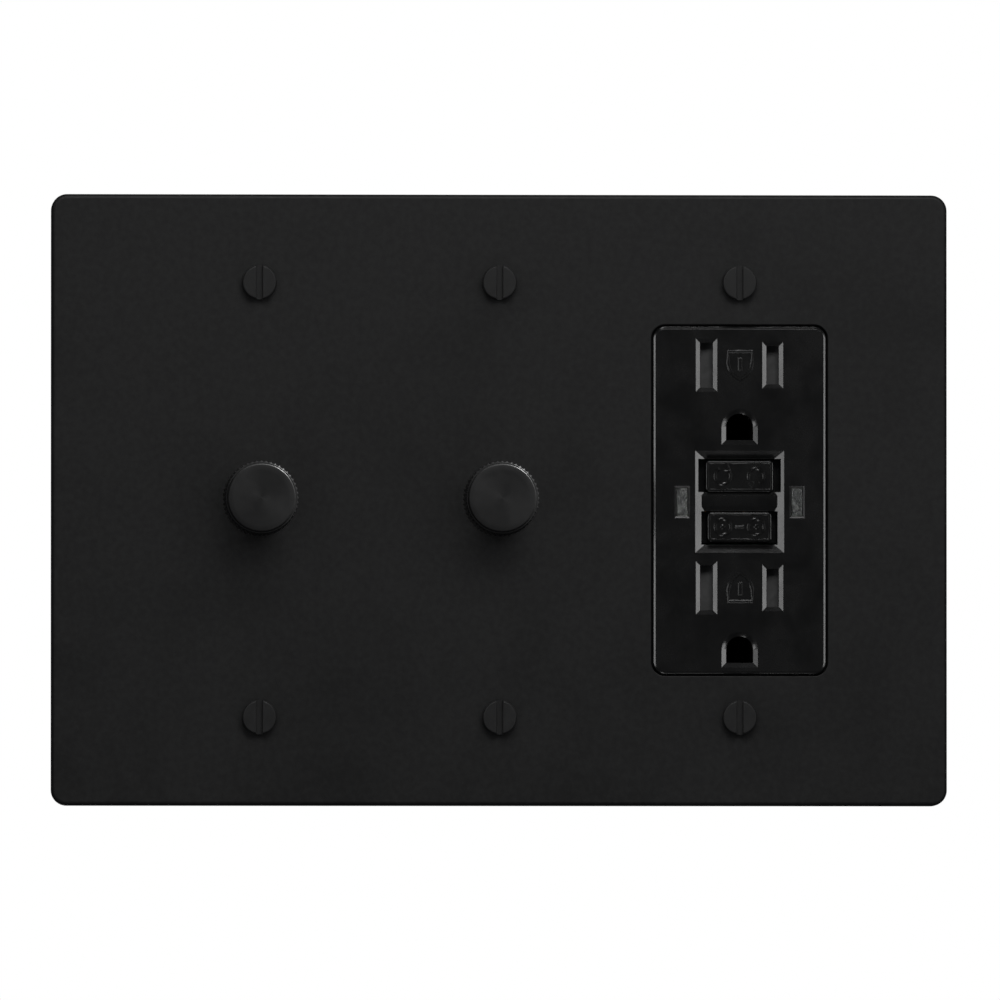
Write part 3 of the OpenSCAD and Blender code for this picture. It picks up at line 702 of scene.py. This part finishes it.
def knob(side):
    lo, hi = box(side + "_knob")
    x, z = (lo[0] + hi[0]) / 2, 0.0
    back, front = hi[1], lo[1]
    tip, root, disc, bevel = (hi[0] - lo[0]) / 2, 6.85, 6.55, 0.3
    shoulder = front + 1.2

    def teeth(limit):
        points = []
        for k in range(KNURL):
            for at, high in TOOTH:
                a = 2 * pi * (k + at) / KNURL + pi / KNURL
                r = min(limit, root + (tip - root) * high)
                points.append((r * cos(a), r * sin(a)))
        return points

    def ring(r):
        return [(r * cos(a), r * sin(a)) for a in angles]

    angles = [2 * pi * (k + at) / KNURL + pi / KNURL for k in range(KNURL) for at, _ in TOOTH]
    rings = [(ring(KNOB_BORE_R), front + BORE_END), (ring(KNOB_BORE_R), back - HOLLOW_DEPTH)]
    rings += [(ring(HOLLOW_R), back - HOLLOW_DEPTH), (ring(HOLLOW_R), back - 0.15)]
    rings += [(ring(HOLLOW_MOUTH_R), back)]
    foot = root - 0.08
    rings += [(ring(foot), back)]
    chamfer = [0.07, 0.14, 0.21, 0.28, 0.36]
    rings += [(teeth(foot + c), back - c) for c in chamfer]
    rings += [(teeth(foot + c), shoulder + c) for c in reversed(chamfer)]
    rings += [(ring(foot), shoulder), (ring(disc + 0.04), shoulder)]
    rings += [(ring(disc), shoulder - 0.04)]
    rings += [(ring(disc - d), y) for d, y in front_edge(front, bevel, 5)]
    rings += [(ring(r), front) for r in (5.2, 3.4, 1.2)]
    piece = as_object(shifted(loft(rings), x, z))
    well = bmesh.new()
    bmesh.ops.create_cone(
        well, cap_ends=True, segments=28, radius1=GRUB_HOLE_R * MM, radius2=GRUB_HOLE_R * MM,
        depth=GRUB_HOLE_LENGTH * MM,
    )
    grub_y = centre(side + "_grub_screw")[1]
    bmesh.ops.translate(well, vec=(x * MM, grub_y * MM, GRUB_HOLE_Z * MM), verts=well.verts)
    piece = taken(piece, [well])
    return placed(piece, side + "_knurled_knob", side + "_knob", side + "_knob", "knob_black", 38)


for side in ("left", "middle"):
    knob(side)


# ---- receptacle face

def grown(r, by):
    return rectangle(r[0] - by, r[1] + by, r[2] - by, r[3] + by)


MARK_RISE, MARK_RUN = 0.17, 0.2


def raised(points, y_base):
    """A low solid on a surface, with sloping sides."""
    top = inset(points, MARK_RUN)
    return loft([(points, y_base + 0.2), (points, y_base), (top, y_base - MARK_RISE)])


def stroke(path, width, y_base, closed=False):
    """A raised line along a path, with sloping sides."""
    n = len(path)
    side = []
    for i, (px, pz) in enumerate(path):
        before = path[i - 1] if closed or i else path[i]
        after = path[(i + 1) % n] if closed or i < n - 1 else path[i]
        tx, tz = after[0] - before[0], after[1] - before[1]
        size = hypot(tx, tz)
        side.append((-tz / size * width / 2, tx / size * width / 2))
    outer = [(p[0] - s[0], p[1] - s[1]) for p, s in zip(path, side)]
    inner = [(p[0] + s[0], p[1] + s[1]) for p, s in zip(path, side)]
    if not closed:
        return as_object(raised(outer + inner[::-1], y_base))
    hole = [(inner, y_base + 1), (inner, y_base)]
    hole.append((inset(inner, -2 * MARK_RUN), y_base - 2 * MARK_RISE))
    return taken(raised(outer, y_base), [loft(hole)])


# Each area is given as x from, x to, z from, z to, about the middle of the gang.
FACE_W, FACE_H, FACE_CORNER, FACE_WALL = 33.0, 66.5, 2.2, 1.6
FLANGE_FRONT = -2.3
RECESS_FRONT = (-8.52, 8.52, -10.09, 9.49)
RECESS_BACK = (-6.75, 6.75, -8.6, 8.05)
RECESS_D = 1.1
BUTTON_WELLS = ((-7.92, 7.92, 1.56, 7.95), (-7.32, 7.32, -8.5, -2.08))
BUTTON_ROOM = (-8.9, 8.9, -9.0, 8.6)
ROOM_Y = -2.26
SKIN = 2.5
BACKING, BACKING_FRONT = 2.2, 1.6
# Each blade slot is given as its middle, width and height.
SLOTS = ((-6.35, 2.5, 8.6), (6.35, 2.4, 7.3))
SLOT_LIP = 0.8
GROUND_R, GROUND_FLAT, GROUND_LIP, GROUND_DROP = 2.6, 2.45, 0.91, 11.9
LIGHT_X, LIGHT_HALF_W, LIGHT_HALF_H, LIGHT_LIP, LIGHT_LIP_D = 11.02, 1.125, 2.725, 0.37, 0.3
POST_X, POST_Z, POST_R, POST_TIP = 18.6, 33.3, 1.2, -2.1
RIDGE_RISE, RIDGE_HALF = 0.37, 7.2
OVERCUT = 0.02
# The outer edge of the face, as insets and depths from the back to the front.
RIM = ((0.0, 4.1), (0.0, 0.34), (0.015, 0.28), (0.06, 0.235), (0.36, 0.05), (0.42, 0.02),
       (0.5, 0.0))
# The outline of the mark between the slots.
SHIELD = ((-2.3, 2.6), (-2.3, 0.3), (-2.0, -0.9), (-1.3, -1.9), (0, -2.8),
          (1.3, -1.9), (2.0, -0.9), (2.3, 0.3), (2.3, 2.6))
MARK_X = 0.1
BEVEL_D = 0.5


def receptacle_face():
    lo, hi = box("receptacle_face")
    back = hi[1]
    outline = rounded(FACE_W, FACE_H, FACE_CORNER, 10, RIGHT_X, 0)
    boss = loft([(inset(outline, d) if d else outline, FACE_Y + y) for d, y in RIM])
    flange = block(rounded(hi[0] - lo[0], hi[2] - lo[2], 2.0, 6, RIGHT_X, 0), back, FLANGE_FRONT,
                   front_r=0.15, steps=2)
    face = joined(boss, [flange])
    front = FACE_Y - OVERCUT

    def at(points):
        return moved(points, RIGHT_X, 0)

    cuts = [loft([(at(grown(RECESS_FRONT, OVERCUT * 1.6)), front),
                  (at(rectangle(*RECESS_BACK)), FACE_Y + RECESS_D)])]
    for well in BUTTON_WELLS:
        cuts.append(block(at(inset(rectangle(*well), -0.001)), back + 1, FACE_Y - 0.001))
    for z in (UPPER_Z, LOWER_Z):
        for x, w, h in SLOTS:
            hole = (x - w / 2, x + w / 2, z - h / 2, z + h / 2)
            lip = SLOT_LIP + OVERCUT * SLOT_LIP / BEVEL_D
            cuts.append(loft([(at(grown(hole, lip)), front),
                              (at(rectangle(*hole)), FACE_Y + BEVEL_D),
                              (at(rectangle(*hole)), back + 1)]))
        outer = arch(GROUND_R + GROUND_LIP, GROUND_FLAT + GROUND_LIP)
        outer = moved(outer, RIGHT_X, z - GROUND_DROP)
        inner = moved(arch(GROUND_R, GROUND_FLAT), RIGHT_X, z - GROUND_DROP)
        cuts.append(loft([(outer, front), (inner, FACE_Y + BEVEL_D), (inner, back + 1)]))
    light_lo, light_hi = box("light_lenses")
    light_z = (light_lo[2] + light_hi[2]) / 2
    for sx in (-1, 1):
        x = sx * LIGHT_X
        hole = (x - LIGHT_HALF_W, x + LIGHT_HALF_W, light_z - LIGHT_HALF_H, light_z + LIGHT_HALF_H)
        cuts.append(loft([(at(grown(hole, LIGHT_LIP)), front),
                          (at(rectangle(*hole)), FACE_Y + LIGHT_LIP_D),
                          (at(rectangle(*hole)), back + 1)]))
    cuts.append(block(at(rectangle(*BUTTON_ROOM)), back + 1, ROOM_Y))
    room = rounded(FACE_W - 2 * FACE_WALL, FACE_H - 2 * FACE_WALL, 1.0, 4, RIGHT_X, 0)
    backing = block(at(grown(RECESS_BACK, BACKING)), back + 2, FACE_Y + BACKING_FRONT)
    cuts.append(taken(block(room, back + 1, FACE_Y + SKIN), [backing]))
    for sx in (-1, 1):
        for sz in (-1, 1):
            post = circle(POST_R, 20, RIGHT_X + sx * POST_X, sz * POST_Z)
            cuts.append(block(post, back + 1, POST_TIP))
    face = taken(face, cuts)
    floor_y, rise = FACE_Y + RECESS_D, RIDGE_RISE
    ridge = bmesh.new()
    section = [(-2.07, floor_y + 0.5), (-2.07, floor_y), (-1.0, floor_y - rise),
               (0.9, floor_y - rise), (1.55, floor_y), (1.55, floor_y + 0.5)]
    ends = [
        [ridge.verts.new(((RIGHT_X + sx * RIDGE_HALF) * MM, y * MM, z * MM)) for z, y in section]
        for sx in (-1, 1)
    ]
    for i in range(len(section)):
        j = (i + 1) % len(section)
        ridge.faces.new((ends[0][i], ends[0][j], ends[1][j], ends[1][i]))
    ridge.faces.new(ends[0])
    ridge.faces.new(ends[1])
    bmesh.ops.recalc_face_normals(ridge, faces=ridge.faces)
    face = joined(face, [ridge])
    soften_object(face, 0.07, 2, 20)
    marks = []
    for z, turn in ((UPPER_Z, 1), (LOWER_Z, -1)):
        middle = RIGHT_X + MARK_X
        path = [(middle + turn * px, z + turn * pz) for px, pz in SHIELD]
        marks.append(stroke(path, 0.72, FACE_Y, closed=True))
        bar = [(middle + turn * px, z + turn * pz) for px, pz in ((0, 1.5), (0, -1.1))]
        marks.append(stroke(bar, 0.9, FACE_Y))
    return face, marks


def finished_face():
    face, marks = receptacle_face()
    face = joined(face, marks)
    return placed(face, "receptacle_front", "root", "receptacle_face", "face_black", 26)


finished_face()


# ---- buttons

MARK_LINE, MARK_OUT, RING_R, DOT_R = 0.62, 3.2, 1.5, 0.5
CAP_CORNER, CAP_ROUND, BRIM_FRONT = 0.75, 0.3, -1.0
PANEL_EDGE, PANEL_FOOT = 0.46, 0.62


def button(node, top_w, top_h, mark):
    lo, hi = box(node)
    cx, cz = (lo[0] + hi[0]) / 2, (lo[2] + hi[2]) / 2
    front = lo[1]

    def outline(w, h, r):
        return rounded(w, h, r, 5, cx, cz)

    brim = outline(hi[0] - lo[0], hi[2] - lo[2], 0.5)
    top = outline(top_w, top_h, CAP_CORNER)
    rings = [(brim, 0.0), (brim, BRIM_FRONT), (top, BRIM_FRONT)]
    rings += [(inset(top, d), y) for d, y in front_edge(front, CAP_ROUND, 5)]
    rings += [(inset(top, PANEL_EDGE), front), (inset(top, PANEL_FOOT), front + MARK_RISE)]
    piece = as_object(loft(rings))
    marks = []
    panel = front + MARK_RISE
    for turn in (1, -1):
        mx, mz = cx - turn * MARK_OUT, cz
        if mark == "ring":
            points = arc(0, 0, RING_R, -250, 50, 26)
            marks.append(stroke([(mx + turn * px, mz + turn * pz) for px, pz in points],
                                MARK_LINE, panel))
            head = [(0.1, 1.05), (1.75, 0.85), (1.0, 2.3)]
            marks.append(raised([(mx + turn * px, mz + turn * pz) for px, pz in head], panel))
        else:
            points = circle(RING_R, 32)
            marks.append(stroke(moved(points, mx, mz), MARK_LINE, panel, closed=True))
            marks.append(raised(moved(circle(DOT_R, 20), mx, mz), panel))
    if mark == "dot":
        marks.append(stroke([(cx - 0.9, cz), (cx + 0.9, cz)], MARK_LINE, panel))
    piece = joined(piece, marks)
    if node == "test_button":
        piece = joined(piece, [block(circle(1.0, 24, cx, cz), hi[1], -0.5, back_r=0.2)])
    return placed(piece, node + "_cap", node.split("_")[0], node, "button_black", 26)


button("reset_button", 12.95, 6.0, "ring")
button("test_button", 12.3, 5.67, "dot")


# ---- indicator lenses

LENS_W = 2.05


def lenses():
    lo, hi = box("light_lenses")
    cz = (lo[2] + hi[2]) / 2
    whole = None
    for x in (lo[0] + LENS_W / 2, hi[0] - LENS_W / 2):
        outline = rounded(LENS_W, hi[2] - lo[2], 0.3, 4, x, cz)
        part = block(outline, hi[1], lo[1], front_r=0.28, back_r=0.1, steps=5)
        if whole:
            part.from_mesh(whole.data)
            bpy.data.objects.remove(whole)
        whole = as_object(part)
    return placed(whole, "indicator_lenses", "root", "light_lenses", "lens_clear")


lenses()


# ---- every other piece: the CAD shape with its edges rounded

ROUNDING = {
    "left_rear_case": 0.4, "middle_rear_case": 0.4, "receptacle_body": 0.4,
    "left_yoke": 0.25, "middle_yoke": 0.25, "receptacle_yoke": 0.25, "receptacle_frame": 0.2,
    "upper_shutter": 0.12, "lower_shutter": 0.12, "bushing_nuts": 0.2, "bushing_washers": 0.1,
    "ground_screws": 0.2, "brass_terminal_screws": 0.2, "silver_terminal_screws": 0.2,
    "housing_screws": 0.15, "dimmer_case_screws": 0.12,
}


def refined(node, source):
    slot = next(s["material_slot"] for s in frame["record"]["subparts"] if s["node"] == node)
    mesh = bmesh.new()
    mesh.from_mesh(source.data)
    coiled = "spring" in node and node != "test_contact_spring"
    softened(mesh, 0 if coiled else ROUNDING.get(node, 0.1), 2, 38, clean=not coiled)
    piece = as_object(mesh)
    body = source.parent.name.split(":")[-1]
    # The ground contacts take the near-black brass, which is painted shade of the hole they sit
    # in.
    finish = "dull_brass" if node == "ground_contacts" else None
    return placed(piece, node + "_piece", body, node, slot, 30 if not coiled else 80, finish)


stood_for = {"wall_plate", "plate_screws", "left_knob", "middle_knob", "receptacle_face",
             "reset_button", "test_button", "light_lenses"}
for node, source in sorted(frame["nodes"].items()):
    if node not in stood_for:
        refined(node, source)


# ---- springs, each given a mesh of its own


def shortens(node, axis, length=0.0):
    """Gives the spring's piece a mesh of its own. Its length along X or Y is worked out, but
    nothing shortens the spring.
    """
    lo, hi = box(node)
    length = length or hi[axis] - lo[axis]
    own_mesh(bpy.data.objects[node + "_piece"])


for side in ("left", "middle"):
    shortens(side + "_plunger_spring", 1)
for level in ("upper", "lower"):
    shortens(level + "_shutter_spring", 0)
shortens("reset_spring", 1)
pressed_at = box("test_button")[1][1]
shortens("test_contact_spring", 1,
         box("test_contact_spring")[1][1] - pressed_at)


# ---- camera, light and floor

AZIMUTH, ELEVATION = radians(-2.4), radians(-1.7)
LENS, SENSOR_WIDTH = 1000.0, 36.0
FRAME_WIDTH = 191.57 * MM
TARGET_SIDE = 0.0001
target = Vector(((PLATE_LO[0] + PLATE_HI[0]) / 2 * MM + TARGET_SIDE, PLATE_Y * MM, 0.0))
away = Vector((sin(AZIMUTH) * cos(ELEVATION), -cos(AZIMUTH) * cos(ELEVATION), sin(ELEVATION)))
camera_data = bpy.data.cameras.new("camera")
camera_data.lens, camera_data.sensor_width = LENS, SENSOR_WIDTH
camera_data.clip_start, camera_data.clip_end = 0.1, 60.0
camera = bpy.data.objects.new("camera", camera_data)
camera.location = target + away * (FRAME_WIDTH * LENS / SENSOR_WIDTH)
camera.rotation_mode = "QUATERNION"
camera.rotation_quaternion = (-away).to_track_quat("-Z", "Y")
scene.collection.objects.link(camera)
scene.camera = camera

FLOOR_Z, FLOOR_HALF = -0.3, 4.0
floor_mesh = bmesh.new()
bmesh.ops.create_grid(floor_mesh, x_segments=1, y_segments=1, size=FLOOR_HALF)
bmesh.ops.translate(floor_mesh, vec=(0, 0, FLOOR_Z), verts=floor_mesh.verts)
floor = as_object(floor_mesh, "floor")
pale = Nodes("floor_pale")
pale.set(Base_Color=pale.tint(pale.noise(0.01, 2.0), (0.78, 0.78, 0.77), (0.82, 0.82, 0.81)),
         Roughness=0.7)
floor.data.materials.append(pale.material)
floor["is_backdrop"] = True
floor.visible_diffuse = floor.visible_glossy = False


def softbox(name, place, size_x, size_y, power, lit, clear_of=()):
    """An area light aimed at the origin, for the pieces in lit, without shadows of clear_of."""
    data = bpy.data.lights.new(name, "AREA")
    data.shape, data.size, data.size_y, data.energy = "RECTANGLE", size_x, size_y, power
    lamp = bpy.data.objects.new(name, data)
    group = bpy.data.collections.new(name + "_pieces")
    for piece in lit:
        group.objects.link(bpy.data.objects[piece])
    lamp.light_linking.receiver_collection = group
    if clear_of:
        group = bpy.data.collections.new(name + "_shadowless")
        lamp.light_linking.blocker_collection = group
        for piece in clear_of:
            group.objects.link(bpy.data.objects[piece])
        for member in group.collection_objects:
            member.light_linking.link_state = "EXCLUDE"
    lamp.location = place
    lamp.rotation_mode = "QUATERNION"
    lamp.rotation_quaternion = (-Vector(place)).to_track_quat("-Z", "Y")
    scene.collection.objects.link(lamp)


RECEPTACLE = ("receptacle_front", "reset_button_cap", "test_button_cap", "indicator_lenses",
              "upper_shutter_piece", "lower_shutter_piece")
KNOBS = ("left_knurled_knob", "middle_knurled_knob")
PLATE = ("wall_plate_shell", "slotted_plate_screws")
everything = [piece.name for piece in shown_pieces()]
inner = [name for name in everything if name not in RECEPTACLE + KNOBS + PLATE]
the_rest = [name for name in everything if name not in RECEPTACLE]
softbox("key", (0.04, -0.50, 0.48), 0.5, 0.35, 1.2, lit=the_rest, clear_of=KNOBS)
softbox("soft_key", (0.22, -0.62, 0.34), 0.5, 0.5, 0.3, lit=the_rest)
softbox("wide_left", (-0.8, -1.0, 0.45), 0.5, 0.5, 0.4, lit=PLATE)
softbox("wide_right", (0.8, -1.0, 0.45), 0.5, 0.5, 0.4, lit=PLATE)
softbox("knob_side", (0.8, -1.0, 0.45), 0.5, 0.5, 0.9, lit=KNOBS)
for side, sx in (("left", -1), ("right", 1)):
    low = (sx * 0.7, -1.0, -0.44)
    softbox("low_" + side, low, 0.5, 0.5, 0.5, lit=PLATE, clear_of=("floor",))
    softbox("low_face_" + side, low, 0.5, 0.5, 0.15, lit=RECEPTACLE, clear_of=("floor",))
softbox("rim", (0.56, -0.16, 0.80), 0.26, 0.26, 22, lit=KNOBS)
softbox("face_key", (0.12, -1.1, 0.62), 0.5, 0.4, 3.0, lit=RECEPTACLE)
softbox("left_side", (-1.0, -0.5, 0.0), 0.3, 0.8, 4, lit=RECEPTACLE)
softbox("right_side", (1.0, -0.5, 0.0), 0.3, 0.8, 4.4, lit=RECEPTACLE)
softbox("above", (RIGHT_X * MM, -0.05, 0.9), 0.8, 0.1, 2.6, lit=RECEPTACLE)
softbox("below", (RIGHT_X * MM, -0.05, -0.9), 0.8, 0.1, 1.5, lit=RECEPTACLE,
        clear_of=("floor",))
softbox("behind", (0.2, 1.4, 0.8), 1.2, 1.0, 16, lit=inner)
softbox("behind_left", (-1.3, 0.8, 0.2), 0.8, 0.8, 12, lit=inner)
softbox("behind_right", (1.3, 0.8, 0.2), 0.8, 0.8, 12, lit=inner)
softbox("plate_back", (0.0, 0.6, 0.0), 0.14, 0.09, 0.8, lit=PLATE)

AMBIENT = 0.035
world = bpy.data.worlds.new("studio")
world.use_nodes = True
tree = world.node_tree
tree.nodes.clear()
seen = tree.nodes.new("ShaderNodeLightPath")
white = tree.nodes.new("ShaderNodeBackground")
white.inputs["Color"].default_value = (1, 1, 1, 1)
dim = tree.nodes.new("ShaderNodeBackground")
dim.inputs["Color"].default_value = (0.9, 0.93, 1, 1)
dim.inputs["Strength"].default_value = AMBIENT
either = tree.nodes.new("ShaderNodeMixShader")
out = tree.nodes.new("ShaderNodeOutputWorld")
tree.links.new(seen.outputs["Is Camera Ray"], either.inputs[0])
tree.links.new(dim.outputs[0], either.inputs[1])
tree.links.new(white.outputs[0], either.inputs[2])
tree.links.new(either.outputs[0], out.inputs["Surface"])
scene.world = world
scene.view_settings.view_transform = "Standard"

softbox("floor_lamp", (0, 0, 2.4), 6.0, 6.0, 150, lit=("floor",))
